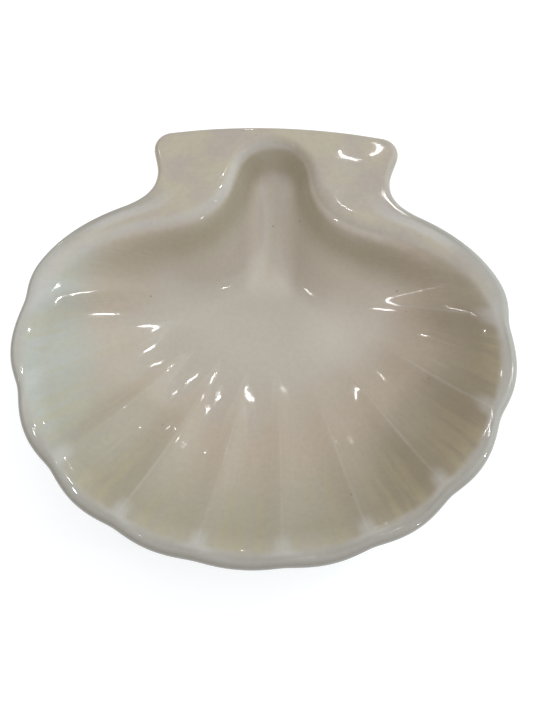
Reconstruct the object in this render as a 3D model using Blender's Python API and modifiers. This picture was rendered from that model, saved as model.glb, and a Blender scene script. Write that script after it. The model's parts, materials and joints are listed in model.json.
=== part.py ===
"""A one-piece glazed baking shell: a scallop-shaped dish with a pleated bowl, a hollow
beak that runs into the hinge between two flat ears, and a low foot ring.

Metres, +Z up. The dish stands on its foot ring at z = 0, with the origin under the
middle of its length and width, the hinge at the back (+Y) and the scalloped rim in
front (-Y).
"""

import math

import bmesh
import bpy
from mathutils import Vector

MM = 0.001

# Overall sizes.
WIDTH = 140.0 * MM
LENGTH = 132.2 * MM
WALL = 4.2 * MM

# Plan of the fan: its widest line, measured from the hinge, and its round edge.
WIDEST_LINE = 67.4 * MM
FAN_BACK = 45.0 * MM
FRONT_ROUNDNESS = 2.08
BACK_ROUNDNESS = 2.16

# Plan of the hinge and its two ears.
HINGE_SPAN = 82.6 * MM
NECK_SPAN = 65.6 * MM
NECK_SETBACK = 26.0 * MM
HINGE_BOW = 4.6 * MM
EAR_CORNER = 7.1 * MM
NOTCH_FILLET = 13.9 * MM
EAR_DISH = 0.6 * MM
EAR_DISH_OFFSET = 28.0 * MM
EAR_DISH_WIDTH = 23.0 * MM
EAR_DISH_LENGTH = 21.0 * MM

# Lip of the hollow, and the floor that falls from it into the bowl.
LIP = 4.4 * MM
BACK_LIP = 11.0 * MM
FRONT_LIP_SOFTNESS = 4.4 * MM
HINGE_LIP_SOFTNESS = 7.5 * MM
LIP_ROUND = 1.9 * MM
BOWL_DEPTH = 27.0 * MM
BOWL_FULLNESS = 2.9
FLOOR_LEAN = 0.0028 / MM
FLOOR_LEAN_SETBACK = 58.0 * MM
FLOOR_BACK = 64.6 * MM
FLOOR_BLEND = 8.0 * MM

# Walls of the bowl: steep at the back, gentle at the sides, and gone in front.
BACK_SLOPE = 2.2
SIDE_SLOPE = 0.8
FRONT_EASE = 0.6
FRONT_EASE_START = 16.0 * MM

# Beak: a round-ended trough at the hinge, whose walls sweep into those of the bowl.
BEAK_WIDTH = 21.0 * MM
BEAK_LIP = 4.5 * MM
BEAK_ROUND = 4.0 * MM
BEAK_CORNER = 10.2 * MM
BEAK_ROUNDNESS = 1.6
BEAK_SLOPE = 3.4
MOUTH_BLEND = 62.0 * MM

# Pleats: they radiate from a focus in the beak, with a groove to each lobe of the rim.
FOCUS_SETBACK = 24.3 * MM
LOBES = 11
LOBE_PITCH = math.radians(11.65)
LOBE_SPREAD = math.radians(0.08)
FRONT_LOBE_DEPTH = 0.35 * MM
SIDE_LOBE_DEPTH = 1.95 * MM
LOBE_ROUND = 0.25
PLEAT_DEPTH = 1.3 * MM
LIP_PLEAT_DEPTH = 0.7 * MM
PLEAT_ROUND = 0.18
PLEAT_START = 0.38
PLEAT_FULL = 0.85

# Foot ring.
FOOT_LIFT = 2.8 * MM
FOOT_DIAMETER = 50.0 * MM
FOOT_BAND = 3.6 * MM
FOOT_DRAFT = 0.7 * MM
FOOT_ROUND = 0.6 * MM

# Mesh: where its lines start, how fine it is, and how near its rings are to the edge.
MIDDLE_SETBACK = 42.0 * MM
LINES_PER_LOBE = 6
EAR_LINES = 26
BOWL_RINGS = 16
ROUND_RING_REACH = 42.0 * MM
RIM_RINGS = 5
RIM_RING_INSET = 1.5 * LIP_ROUND
RIM_RING_GAP = 0.35 * LIP
RIM_ROUND_STEPS = 3
FOOT_SIDES = 48
WELD = 1e-6

# Places that follow from the sizes.
RIM_HEIGHT = FOOT_LIFT + WALL + BOWL_DEPTH
HINGE_Y = LENGTH / 2
WIDEST_Y = HINGE_Y - WIDEST_LINE
FAN_FRONT = LENGTH - WIDEST_LINE
FLOOR_LEAN_Y = HINGE_Y - FLOOR_LEAN_SETBACK
FOCUS = Vector((0.0, HINGE_Y - FOCUS_SETBACK))
MIDDLE = Vector((0.0, HINGE_Y - MIDDLE_SETBACK))
LAST_LOBE = (LOBES - 1) / 2
SHOULDER = LOBES / 2
BEND_START = LAST_LOBE - 2
PLEAT_FADE_START = LAST_LOBE - 0.5

GLAZE_COLOUR = (0.62, 0.585, 0.52, 1.0)
GLAZE_ROUGHNESS = 0.15


def smooth_max(a, b, softness):
    """The larger of two values, with the crease between them rounded."""
    overlap = max(softness - abs(a - b), 0.0)
    return max(a, b) + overlap * overlap / (4.0 * softness)


def smooth_min(a, b, softness):
    """The smaller of two values, with the crease between them rounded."""
    return -smooth_max(-a, -b, softness)


def ease(value, low, high):
    """0 below low and 1 above high, with a smooth rise between."""
    share = min(max((value - low) / (high - low), 0.0), 1.0)
    return share * share * (3.0 - 2.0 * share)


def rib_angle(turn):
    """Angle at the focus, from the front centre line, of a place counted in lobes."""
    return LOBE_PITCH * turn + LOBE_SPREAD * turn**3


def pleat_wave(turn):
    """-1 in a round groove, at each whole lobe, and +1 on the narrow ridge between two."""
    arch = math.hypot(math.cos(math.pi * turn), PLEAT_ROUND) - PLEAT_ROUND
    return 1.0 - 2.0 * arch / (math.hypot(1.0, PLEAT_ROUND) - PLEAT_ROUND)


def lobe_dip(turn):
    """How far the edge of the fan is drawn in beside the round top of a lobe."""
    if turn > LAST_LOBE:
        return 0.0
    deep = FRONT_LOBE_DEPTH + (SIDE_LOBE_DEPTH - FRONT_LOBE_DEPTH) * turn / LAST_LOBE
    arch = math.hypot(math.cos(math.pi * turn), LOBE_ROUND) - LOBE_ROUND
    return deep * (1.0 - arch / (math.hypot(1.0, LOBE_ROUND) - LOBE_ROUND))


def fan_share(x, y, inset, back_inset):
    """0 in the middle of the fan and 1 on its edge, drawn in by the insets."""
    behind = y > WIDEST_Y
    power = BACK_ROUNDNESS if behind else FRONT_ROUNDNESS
    across = abs(x) / (WIDTH / 2 - inset)
    along = abs(y - WIDEST_Y) / (FAN_BACK - back_inset if behind else FAN_FRONT - inset)
    return (across**power + along**power) ** (1.0 / power)


def fan_clearance(x, y):
    """Distance outside the plain edge of the fan, negative inside."""
    reach = math.hypot(x, y - WIDEST_Y)
    return reach - reach / max(fan_share(x, y, 0.0, 0.0), WELD)


def ear_clearance(x, y):
    """Distance outside the hinge bar with its two flared, round-cornered ears."""
    flare = (HINGE_SPAN - NECK_SPAN) / 2 / NECK_SETBACK
    side = abs(x) - NECK_SPAN / 2 - flare * (y - HINGE_Y + NECK_SETBACK)
    back = y - HINGE_Y + HINGE_BOW * (2.0 * x / HINGE_SPAN) ** 2
    corner = math.hypot(max(side + EAR_CORNER, 0.0), max(back + EAR_CORNER, 0.0))
    rounded = corner + min(max(side, back) + EAR_CORNER, 0.0) - EAR_CORNER
    return max(rounded, WIDEST_Y - y)


def edge_clearance(x, y, turn):
    """Distance outside the edge of the dish, with fillets in the notches by the ears."""
    fan = fan_clearance(x, y) + lobe_dip(turn)
    return smooth_min(fan, ear_clearance(x, y), NOTCH_FILLET)


def line_exit(start, angle, turn):
    """Where a straight line from the start, at an angle from the front, meets the edge."""
    heading = Vector((math.sin(angle), -math.cos(angle)))
    near, far = 0.0, LENGTH
    while far - near > WELD / 10:
        middle = (near + far) / 2
        place = start + heading * middle
        if edge_clearance(place.x, place.y, turn) < 0.0:
            near = middle
        else:
            far = middle
    return start + heading * near


def bowl_wall(x, y):
    """Depth of the wall round the bowl below the rim, negative outside its lip."""
    reach = math.hypot(x, y - WIDEST_Y)
    inside = reach / max(fan_share(x, y, LIP, BACK_LIP), WELD) - reach
    towards_back = max(y - WIDEST_Y, 0.0) / max(reach, WELD)
    return inside * (SIDE_SLOPE + (BACK_SLOPE - SIDE_SLOPE) * towards_back**2)


def beak_wall(x, y):
    """Depth of the wall round the beak below the rim, negative outside its lip."""
    half_width = math.hypot(BEAK_WIDTH / 2, BEAK_ROUND)
    side = max(math.hypot(x, BEAK_ROUND) - half_width + BEAK_CORNER, 0.0)
    back = max(y - HINGE_Y + BEAK_LIP + BEAK_CORNER, 0.0)
    corner = (side**BEAK_ROUNDNESS + back**BEAK_ROUNDNESS) ** (1.0 / BEAK_ROUNDNESS)
    return BEAK_SLOPE * (BEAK_CORNER - corner)


def lip_softness(y):
    """Depth over which the lip rounds into the hollow, more where the walls are steep."""
    towards_hinge = max(y - WIDEST_Y, 0.0) / WIDEST_LINE
    return FRONT_LIP_SOFTNESS + (HINGE_LIP_SOFTNESS - FRONT_LIP_SOFTNESS) * towards_hinge


def hollow_depth(x, y):
    """Depth of the bowl and the beak below the rim, rounded over at their lip."""
    floor_share = fan_share(x, y, LIP, FAN_BACK - FLOOR_BACK)
    lean = 1.0 + FLOOR_LEAN * (y - FLOOR_LEAN_Y)
    floor = BOWL_DEPTH * (1.0 - floor_share**BOWL_FULLNESS) * lean
    in_front = smooth_max(WIDEST_Y - y, 0.0, FRONT_EASE_START)
    wall = smooth_max(bowl_wall(x, y), beak_wall(x, y), MOUTH_BLEND) + FRONT_EASE * in_front
    return smooth_max(0.0, smooth_min(floor, wall, FLOOR_BLEND), lip_softness(y))


def ear_dip(x, y):
    """A shallow dish in the middle of each ear."""
    across = (abs(x) - EAR_DISH_OFFSET) / (EAR_DISH_WIDTH / 2)
    along = (HINGE_Y - NECK_SETBACK / 2 - y) / (EAR_DISH_LENGTH / 2)
    return EAR_DISH * max(1.0 - across**2 - along**2, 0.0) ** 2


def surface_height(place, turn, share):
    """Height of the inner surface, share being 0 in the middle and 1 at the edge."""
    rise = ease(share, PLEAT_START, PLEAT_FULL)
    flatten = 1.0 - (1.0 - LIP_PLEAT_DEPTH / PLEAT_DEPTH) * ease(share, PLEAT_FULL, 1.0)
    fade = 1.0 - ease(turn, PLEAT_FADE_START, SHOULDER)
    pleat = PLEAT_DEPTH / 2 * rise * flatten * fade * pleat_wave(turn)
    depth = hollow_depth(place.x, place.y) + ear_dip(place.x, place.y)
    return RIM_HEIGHT - depth + pleat


def mesh_lines():
    """Outer end and lobe count of each mesh line, from the front round to the hinge."""
    fan_lines = round(SHOULDER * LINES_PER_LOBE)
    turns = [SHOULDER * i / fan_lines for i in range(fan_lines + 1)]
    lines = [(line_exit(FOCUS, rib_angle(turn), turn), turn) for turn in turns]
    shoulder = lines[-1][0] - MIDDLE
    first = math.atan2(shoulder.x, -shoulder.y)
    for i in range(1, EAR_LINES + 1):
        angle = first + (math.pi - first) * i / EAR_LINES
        lines.append((line_exit(MIDDLE, angle, SHOULDER), SHOULDER))
    return lines


def line_point(end, turn, share):
    """A point on a mesh line, which leaves the middle straight and bends along its rib."""
    along_rib = ease(share, 0.0, PLEAT_FULL) * (1.0 - ease(turn, BEND_START, SHOULDER))
    start = MIDDLE.lerp(FOCUS, along_rib)
    return end.lerp(start, 1.0 - share)


def line_shares(end, turn):
    """Shares of the mesh points along one line, 0 in the middle and 1 at its end.

    The rings that they make are round near the middle and follow the edge near the rim.
    """
    shares = []
    for k in range(RIM_RINGS, 0, -1):
        inset = RIM_RING_INSET + RIM_RING_GAP * (k - 1)
        near, far = 0.0, 1.0
        while far - near > WELD:
            share = (near + far) / 2
            place = line_point(end, turn, share)
            if edge_clearance(place.x, place.y, turn) < -inset:
                near = share
            else:
                far = share
        shares.append(near)
    bowl = []
    for j in range(BOWL_RINGS):
        out = j / BOWL_RINGS
        round_share = ROUND_RING_REACH / (end - MIDDLE).length
        bowl.append(out * (round_share * (1.0 - out) + shares[0] * out))
    return bowl + shares + [1.0]


def half_surface():
    """The right half of the inner surface: a grid whose lines run out from its middle."""
    lines = mesh_lines()
    shares = [line_shares(end, turn) for end, turn in lines]
    spans = (len(lines) - 1, len(shares[0]) - 1)
    mesh = bmesh.new()
    bmesh.ops.create_grid(mesh, x_segments=spans[0], y_segments=spans[1], size=0.5)
    for vertex in mesh.verts:
        i = round((vertex.co.x + 0.5) * spans[0])
        j = round((vertex.co.y + 0.5) * spans[1])
        end, turn = lines[i]
        place = line_point(end, turn, shares[i][j])
        x = 0.0 if i in (0, spans[0]) else place.x
        vertex.co = (x, place.y, surface_height(place, turn, shares[i][j]))
    bmesh.ops.remove_doubles(mesh, verts=mesh.verts, dist=WELD)
    bmesh.ops.reverse_faces(mesh, faces=mesh.faces)
    rounded = mesh.edges.layers.float.new("bevel_weight_edge")
    for edge in mesh.edges:
        on_outline = edge.is_boundary and max(vertex.co.x for vertex in edge.verts) > 0.0
        edge[rounded] = 1.0 if on_outline else 0.0
    return mesh


def foot_profile():
    """Section of the foot ring, as (distance from its axis, height), open at the top."""
    outer = FOOT_DIAMETER / 2
    inner = outer - FOOT_BAND
    top = FOOT_LIFT + WALL
    return [
        (outer + FOOT_DRAFT, top),
        (outer, FOOT_ROUND),
        (outer - FOOT_ROUND, 0.0),
        (inner + FOOT_ROUND, 0.0),
        (inner, FOOT_ROUND),
        (inner - FOOT_DRAFT, top),
    ]


def foot_ring():
    """The turned foot ring, whose top lies in the middle of the wall above it."""
    mesh = bmesh.new()
    verts = [mesh.verts.new((radius, 0.0, height)) for radius, height in foot_profile()]
    edges = [mesh.edges.new(pair) for pair in zip(verts, verts[1:] + verts[:1])]
    bmesh.ops.spin(
        mesh,
        geom=verts + edges,
        axis=(0.0, 0.0, 1.0),
        cent=(0.0, 0.0, 0.0),
        angle=2.0 * math.pi,
        steps=FOOT_SIDES,
        use_merge=True,
    )
    for vertex in mesh.verts:
        if vertex.co.z > FOOT_LIFT:
            depth = hollow_depth(vertex.co.x, WIDEST_Y + vertex.co.y)
            vertex.co.z = RIM_HEIGHT - depth - WALL / 2
    bmesh.ops.recalc_face_normals(mesh, faces=mesh.faces)
    return mesh


def add_object(name, mesh, collection, material):
    """Turn a bmesh into a smooth-shaded object with the given material."""
    data = bpy.data.meshes.new(name)
    mesh.to_mesh(data)
    mesh.free()
    data.materials.append(material)
    data.shade_smooth()
    data.set_sharp_from_angle(angle=math.radians(50.0))
    piece = bpy.data.objects.new(name, data)
    collection.objects.link(piece)
    return piece


def glaze_material():
    material = bpy.data.materials.new("ivory_glaze")
    material.use_nodes = True
    shader = material.node_tree.nodes["Principled BSDF"]
    shader.inputs["Base Color"].default_value = GLAZE_COLOUR
    shader.inputs["Roughness"].default_value = GLAZE_ROUGHNESS
    shader.inputs["Metallic"].default_value = 0.0
    return material


def new_collection(name):
    collection = bpy.data.collections.new(name)
    bpy.context.scene.collection.children.link(collection)
    return collection


def build():
    """Make the dish, with its foot ring joined to it."""
    for stale in list(bpy.data.objects):
        bpy.data.objects.remove(stale, do_unlink=True)
    glaze = glaze_material()
    parts = new_collection("baking_shell")
    cutters = new_collection("cutters")

    foot = add_object("foot_ring", foot_ring(), cutters, glaze)
    foot.location = (0.0, WIDEST_Y, 0.0)
    foot.hide_render = True
    foot.display_type = "WIRE"

    shell = add_object("shell_dish", half_surface(), parts, glaze)
    mirror = shell.modifiers.new("other_half", "MIRROR")
    mirror.use_clip = True
    mirror.merge_threshold = 1e-5
    wall = shell.modifiers.new("wall", "SOLIDIFY")
    wall.thickness = WALL
    wall.offset = -1.0
    wall.use_even_offset = True
    wall.use_quality_normals = True
    rounding = shell.modifiers.new("rim_rounding", "BEVEL")
    rounding.limit_method = "WEIGHT"
    rounding.width = LIP_ROUND
    rounding.segments = RIM_ROUND_STEPS
    rounding.use_clamp_overlap = False
    join = shell.modifiers.new("foot", "BOOLEAN")
    join.operation = "UNION"
    join.object = foot


build()
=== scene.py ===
"""Scene of a glazed ceramic baking shell on a pale studio floor.

The dish is one moulded piece: a scallop-shaped, pleated bowl with a rounded lip, a hollow
beak that runs back into the hinge, an ear on each side of it, and a low foot ring. Metres,
+Z up, the hinge at +Y and the scalloped front rim at -Y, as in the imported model.
"""

from __future__ import annotations

import json
import logging
import math
from dataclasses import dataclass, field
from enum import Enum

import bmesh
import bpy
import numpy as np
from mathutils import Matrix, Quaternion, Vector

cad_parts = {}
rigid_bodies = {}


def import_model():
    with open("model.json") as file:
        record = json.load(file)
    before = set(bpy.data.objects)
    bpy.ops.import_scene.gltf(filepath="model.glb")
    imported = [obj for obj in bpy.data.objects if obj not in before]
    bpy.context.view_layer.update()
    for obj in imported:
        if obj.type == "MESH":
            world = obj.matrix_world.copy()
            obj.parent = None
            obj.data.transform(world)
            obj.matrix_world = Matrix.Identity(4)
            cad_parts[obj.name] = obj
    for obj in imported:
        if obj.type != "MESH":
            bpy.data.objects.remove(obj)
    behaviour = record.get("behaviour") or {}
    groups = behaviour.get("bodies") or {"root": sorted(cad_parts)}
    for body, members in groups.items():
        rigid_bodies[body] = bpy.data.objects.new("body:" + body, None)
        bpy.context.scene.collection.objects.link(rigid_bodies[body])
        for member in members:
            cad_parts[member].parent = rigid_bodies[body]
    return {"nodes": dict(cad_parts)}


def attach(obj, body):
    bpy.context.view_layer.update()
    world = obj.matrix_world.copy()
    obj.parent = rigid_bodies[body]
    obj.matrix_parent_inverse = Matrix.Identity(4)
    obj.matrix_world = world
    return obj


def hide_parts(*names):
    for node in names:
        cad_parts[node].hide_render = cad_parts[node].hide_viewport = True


MM = 0.001
NEVER_ZERO = 1e-6
NO_AREA = 1e-12
NOISE_SPAN = (0.3, 0.7)

Colour = tuple[float, float, float]
Point = tuple[float, float, float]

log = logging.getLogger("baking_shell")


class Trace(Enum):
    """Values that the dish's mesh carries from point to point for its glaze."""

    WAVE = "pleat_wave"
    TURN = "lobe_count"
    REACH = "reach"
    EDGE = "edge_distance"
    DEPTH = "depth_in_mouth"
    INSIDE = "inside"


class LampRole(Enum):
    """What a lamp of the studio is there for."""

    STRIP = "bare strip for a long glint"
    SPOT = "short strip for a small glint"


class Guide(Enum):
    """What a layer of the glaze's colour is placed by."""

    WAVE = "-1 in a groove, 1 on a ridge"
    REACH = "share of the way out to the edge"
    CLOUDY_REACH = "that share, with clouds in its borders"
    DEPTH = "millimetres below the mouth's edge, with clouds in its borders"
    EDGE = "millimetres inside the dish's edge"
    RIGHT = "metres to the right"
    ASIDE = "metres to either side"
    BACK = "metres towards the hinge"
    LEVEL = "1 where the surface lies flat, 0 where it stands upright"
    TONGUE = "how far past the ragged tip of a tongue"
    PATCH = "blotches along the grooves"
    WEAR = "worn stretches of the ridges"
    BLUSH = "soft blotches on the ears"


@dataclass(frozen=True)
class Grain:
    """How fine a noise is, how many finer layers it has, and how strong they are."""

    fineness: float
    detail: float = 3.0
    rough: float = 0.5


@dataclass(frozen=True)
class RibGrain:
    """A grain along the pleats: its fineness across each lobe, and from the middle to the edge."""

    across: float
    along: float
    detail: float = 3.0
    rough: float = 0.5


@dataclass(frozen=True)
class Fade:
    """How a layer's strength changes smoothly between two limits of one guide."""

    guide: Guide
    low: float
    high: float
    start: float = 0.0
    end: float = 1.0


@dataclass(frozen=True)
class Layer:
    """A colour laid over those before it, as strong as its fades multiplied together."""

    colour: Colour | bpy.types.NodeSocket
    fades: tuple[Fade, ...]


def smooth_max(a: np.ndarray, b: np.ndarray, softness: np.ndarray) -> np.ndarray:
    """Take the larger of two values, with the crease between them rounded.

    Args:
        a: First value.
        b: Second value.
        softness: Difference below which the crease is rounded.

    Returns:
        The rounded larger value.
    """
    overlap = np.maximum(softness - np.abs(a - b), 0.0)
    return np.maximum(a, b) + overlap * overlap / (4.0 * softness)


def ease(value: np.ndarray, low: float, high: float) -> np.ndarray:
    """Rise smoothly from 0 to 1 between two limits.

    Args:
        value: The value that is looked at.
        low: Where the rise starts.
        high: Where it ends.

    Returns:
        0 below low, 1 above high, and a smooth rise between.
    """
    share = np.clip((value - low) / (high - low), 0.0, 1.0)
    return share * share * (3.0 - 2.0 * share)


@dataclass
class ShellForm:
    """The dish's shape: its outline in plan, its hollow and its pleats."""

    width: float = 140.0 * MM
    length: float = 132.2 * MM
    wall: float = 4.2 * MM
    rim_height: float = 33.99 * MM
    widest_line: float = 67.4 * MM
    fan_back: float = 45.0 * MM
    front_roundness: float = 2.08
    back_roundness: float = 2.16
    hinge_span: float = 82.6 * MM
    neck_span: float = 65.6 * MM
    neck_setback: float = 26.0 * MM
    hinge_bow: float = 4.6 * MM
    ear_corner: float = 7.1 * MM
    notch_fillet: float = 13.9 * MM
    ear_dish: float = 0.6 * MM
    ear_dish_offset: float = 28.0 * MM
    ear_dish_width: float = 23.0 * MM
    ear_dish_length: float = 21.0 * MM
    lip: float = 4.4 * MM
    back_lip: float = 11.0 * MM
    front_lip_softness: float = 4.4 * MM
    hinge_lip_softness: float = 7.5 * MM
    lip_round: float = 1.9 * MM
    bowl_depth: float = 27.0 * MM
    bowl_fullness: float = 2.9
    floor_lean: float = 0.0028 / MM
    floor_lean_setback: float = 58.0 * MM
    floor_back: float = 64.6 * MM
    beak_width: float = 21.0 * MM
    beak_lip: float = 4.5 * MM
    beak_round: float = 4.0 * MM
    beak_corner: float = 10.2 * MM
    beak_roundness: float = 1.6
    beak_slope: float = 3.4
    back_slope: float = 2.2
    side_slope: float = 0.8
    mouth_blend: float = 62.0 * MM
    floor_blend: float = 8.0 * MM
    front_ease: float = 0.6
    front_ease_start: float = 16.0 * MM
    middle_setback: float = 42.0 * MM
    focus_setback: float = 24.3 * MM
    lobes: int = 11
    lobe_pitch: float = math.radians(11.65)
    lobe_spread: float = math.radians(0.08)
    front_lobe_depth: float = 0.35 * MM
    side_lobe_depth: float = 1.95 * MM
    lobe_round: float = 0.25
    pleat_depth: float = 1.3 * MM
    lip_pleat_depth: float = 0.56 * MM
    pleat_round: float = 0.18
    pleat_start: float = 0.38
    pleat_full: float = 0.85
    edge_halvings: int = 40
    ring_halvings: int = 30

    @property
    def hinge_y(self) -> float:
        """The hinge's middle."""
        return self.length / 2

    @property
    def widest_y(self) -> float:
        """The line on which the fan is widest."""
        return self.hinge_y - self.widest_line

    @property
    def middle(self) -> np.ndarray:
        """Where the mesh lines start, at the front end of the beak."""
        return np.array((0.0, self.hinge_y - self.middle_setback))

    @property
    def focus(self) -> np.ndarray:
        """Where the pleats radiate from."""
        return np.array((0.0, self.hinge_y - self.focus_setback))

    @property
    def last_lobe(self) -> float:
        """Count of the outermost lobe, from 0 at the front."""
        return (self.lobes - 1) / 2

    @property
    def shoulder(self) -> float:
        """Where the lobes end and the plain edge starts."""
        return self.lobes / 2

    def rib_angle(self, turn: np.ndarray) -> np.ndarray:
        """Turn a place counted in lobes into its angle at the focus, from the front."""
        return self.lobe_pitch * turn + self.lobe_spread * turn**3

    def pleat_wave(self, turn: np.ndarray) -> np.ndarray:
        """Run from -1 in a groove, at each whole lobe, to +1 on the ridge between two."""
        arch = np.hypot(np.cos(np.pi * turn), self.pleat_round) - self.pleat_round
        return 1.0 - 2.0 * arch / (math.hypot(1.0, self.pleat_round) - self.pleat_round)

    def lobe_dip(self, turn: np.ndarray) -> np.ndarray:
        """Find how far the edge is drawn in beside the round top of a lobe.

        Args:
            turn: Place counted in lobes.

        Returns:
            The depth of the dip there, in metres.
        """
        growth = self.side_lobe_depth - self.front_lobe_depth
        deep = self.front_lobe_depth + growth * turn / self.last_lobe
        arch = np.hypot(np.cos(np.pi * turn), self.lobe_round) - self.lobe_round
        dip = deep * (1.0 - arch / (math.hypot(1.0, self.lobe_round) - self.lobe_round))
        return np.where(turn > self.last_lobe, 0.0, dip)

    def fan_share(
        self, x: np.ndarray, y: np.ndarray, inset: float, back_inset: float
    ) -> np.ndarray:
        """Measure a place across the fan.

        Args:
            x: Places to the right.
            y: Places towards the hinge.
            inset: How far the fan's edge is drawn in at the sides and in front.
            back_inset: How far it is drawn in at the back.

        Returns:
            0 in the middle of the fan and 1 on its drawn-in edge.
        """
        behind = y > self.widest_y
        power = np.where(behind, self.back_roundness, self.front_roundness)
        front = self.length - self.widest_line - inset
        across = np.abs(x) / (self.width / 2 - inset)
        along = np.abs(y - self.widest_y) / np.where(
            behind, self.fan_back - back_inset, front
        )
        return (across**power + along**power) ** (1.0 / power)

    def edge_clearance(self, x: np.ndarray, y: np.ndarray, turn: np.ndarray) -> np.ndarray:
        """Measure a place's distance outside the dish's edge.

        Args:
            x: Places to the right.
            y: Places towards the hinge.
            turn: The same places counted in lobes.

        Returns:
            The distance in metres, negative inside.
        """
        reach = np.hypot(x, y - self.widest_y)
        share = np.maximum(self.fan_share(x, y, 0.0, 0.0), NEVER_ZERO)
        fan = reach - reach / share + self.lobe_dip(turn)
        flare = (self.hinge_span - self.neck_span) / 2 / self.neck_setback
        neck_y = self.hinge_y - self.neck_setback
        side = np.abs(x) - self.neck_span / 2 - flare * (y - neck_y)
        back = y - self.hinge_y + self.hinge_bow * (2.0 * x / self.hinge_span) ** 2
        corner = np.hypot(
            np.maximum(side + self.ear_corner, 0.0), np.maximum(back + self.ear_corner, 0.0)
        )
        flat = np.minimum(np.maximum(side, back) + self.ear_corner, 0.0)
        ear = np.maximum(corner + flat - self.ear_corner, self.widest_y - y)
        return -smooth_max(-fan, -ear, self.notch_fillet)

    def wall_depth(self, x: np.ndarray, y: np.ndarray) -> np.ndarray:
        """Find how deep the walls behind the bowl and round the beak have come down.

        Args:
            x: Places to the right.
            y: Places towards the hinge.

        Returns:
            The depth below the rim in metres, negative outside the hollow's mouth.
        """
        reach = np.hypot(x, y - self.widest_y)
        share = np.maximum(self.fan_share(x, y, self.lip, self.back_lip), NEVER_ZERO)
        towards_back = np.maximum(y - self.widest_y, 0.0) / np.maximum(reach, MM)
        slope = self.side_slope + (self.back_slope - self.side_slope) * towards_back**2
        fan = slope * (reach / share - reach)
        half = math.hypot(self.beak_width / 2, self.beak_round)
        side = np.hypot(x, self.beak_round) - half + self.beak_corner
        back = np.maximum(y - self.hinge_y + self.beak_lip + self.beak_corner, 0.0)
        power = self.beak_roundness
        outside = (side**power + back**power) ** (1.0 / power) - self.beak_corner
        return smooth_max(fan, -self.beak_slope * outside, self.mouth_blend)

    def mouth_depth(self, x: np.ndarray, y: np.ndarray) -> np.ndarray:
        """Find the depth of the bowl and the beak, with a sharp edge at their mouth.

        Args:
            x: Places to the right.
            y: Places towards the hinge.

        Returns:
            The depth below the rim in metres, negative outside the mouth.
        """
        far_back = self.fan_back - self.floor_back
        fan = self.fan_share(x, y, self.lip, far_back)
        lean = 1.0 + self.floor_lean * (y - self.hinge_y + self.floor_lean_setback)
        floor = self.bowl_depth * (1.0 - fan**self.bowl_fullness) * lean
        ahead = smooth_max(self.widest_y - y, 0.0, self.front_ease_start)
        wall = self.wall_depth(x, y) + self.front_ease * ahead
        return -smooth_max(-floor, -wall, self.floor_blend)

    def hollow(self, x: np.ndarray, y: np.ndarray) -> np.ndarray:
        """Find the depth of the bowl and the beak below the rim.

        Args:
            x: Places to the right.
            y: Places towards the hinge.

        Returns:
            The depth in metres, rounded over at the lip.
        """
        towards_hinge = np.maximum(y - self.widest_y, 0.0) / self.widest_line
        growth = self.hinge_lip_softness - self.front_lip_softness
        softness = self.front_lip_softness + growth * towards_hinge
        return smooth_max(0.0, self.mouth_depth(x, y), softness)

    def height(
        self, x: np.ndarray, y: np.ndarray, turn: np.ndarray, share: np.ndarray
    ) -> np.ndarray:
        """Find the height of the dish's inner surface.

        Args:
            x: Places to the right.
            y: Places towards the hinge.
            turn: The same places counted in lobes.
            share: 0 in the middle of the mesh and 1 on the dish's edge.

        Returns:
            Height above the floor, in metres.
        """
        rise = ease(share, self.pleat_start, self.pleat_full)
        calm = 1.0 - self.lip_pleat_depth / self.pleat_depth
        flatten = 1.0 - calm * ease(share, self.pleat_full, 1.0)
        fade = 1.0 - ease(turn, self.last_lobe - 0.5, self.shoulder)
        pleat = self.pleat_depth / 2 * rise * flatten * fade * self.pleat_wave(turn)
        across = (np.abs(x) - self.ear_dish_offset) / (self.ear_dish_width / 2)
        ear_y = self.hinge_y - self.neck_setback / 2
        along = (ear_y - y) / (self.ear_dish_length / 2)
        ear = self.ear_dish * np.maximum(1.0 - across**2 - along**2, 0.0) ** 2
        return self.rim_height - self.hollow(x, y) - ear + pleat

    def line_place(self, ends: np.ndarray, turn: np.ndarray, share: np.ndarray) -> np.ndarray:
        """Find points on the mesh lines, which bend from the middle along the ribs.

        Args:
            ends: Outer end of each line, one row of (x, y) to a line.
            turn: Each line's place counted in lobes.
            share: Share of the way out along each line.

        Returns:
            One row of (x, y) to a line.
        """
        bend = 1.0 - ease(turn, self.last_lobe - 2.0, self.shoulder)
        along_rib = (ease(share, 0.0, self.pleat_full) * bend)[:, None]
        start = self.middle + (self.focus - self.middle) * along_rib
        return ends * share[:, None] + start * (1.0 - share[:, None])

    def line_ends(self, start: np.ndarray, angle: np.ndarray, turn: np.ndarray) -> np.ndarray:
        """Find where straight lines meet the dish's edge.

        Args:
            start: (x, y) that the lines start from.
            angle: Their angles from the front.
            turn: Their places counted in lobes.

        Returns:
            One row of (x, y) to a line.
        """
        heading = np.stack((np.sin(angle), -np.cos(angle)), axis=1)
        near = np.zeros(len(angle))
        far = np.full(len(angle), self.length)
        for _ in range(self.edge_halvings):
            half = (near + far) / 2
            place = start + heading * half[:, None]
            within = self.edge_clearance(place[:, 0], place[:, 1], turn) < 0.0
            near = np.where(within, half, near)
            far = np.where(within, far, half)
        return start + heading * near[:, None]

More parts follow.
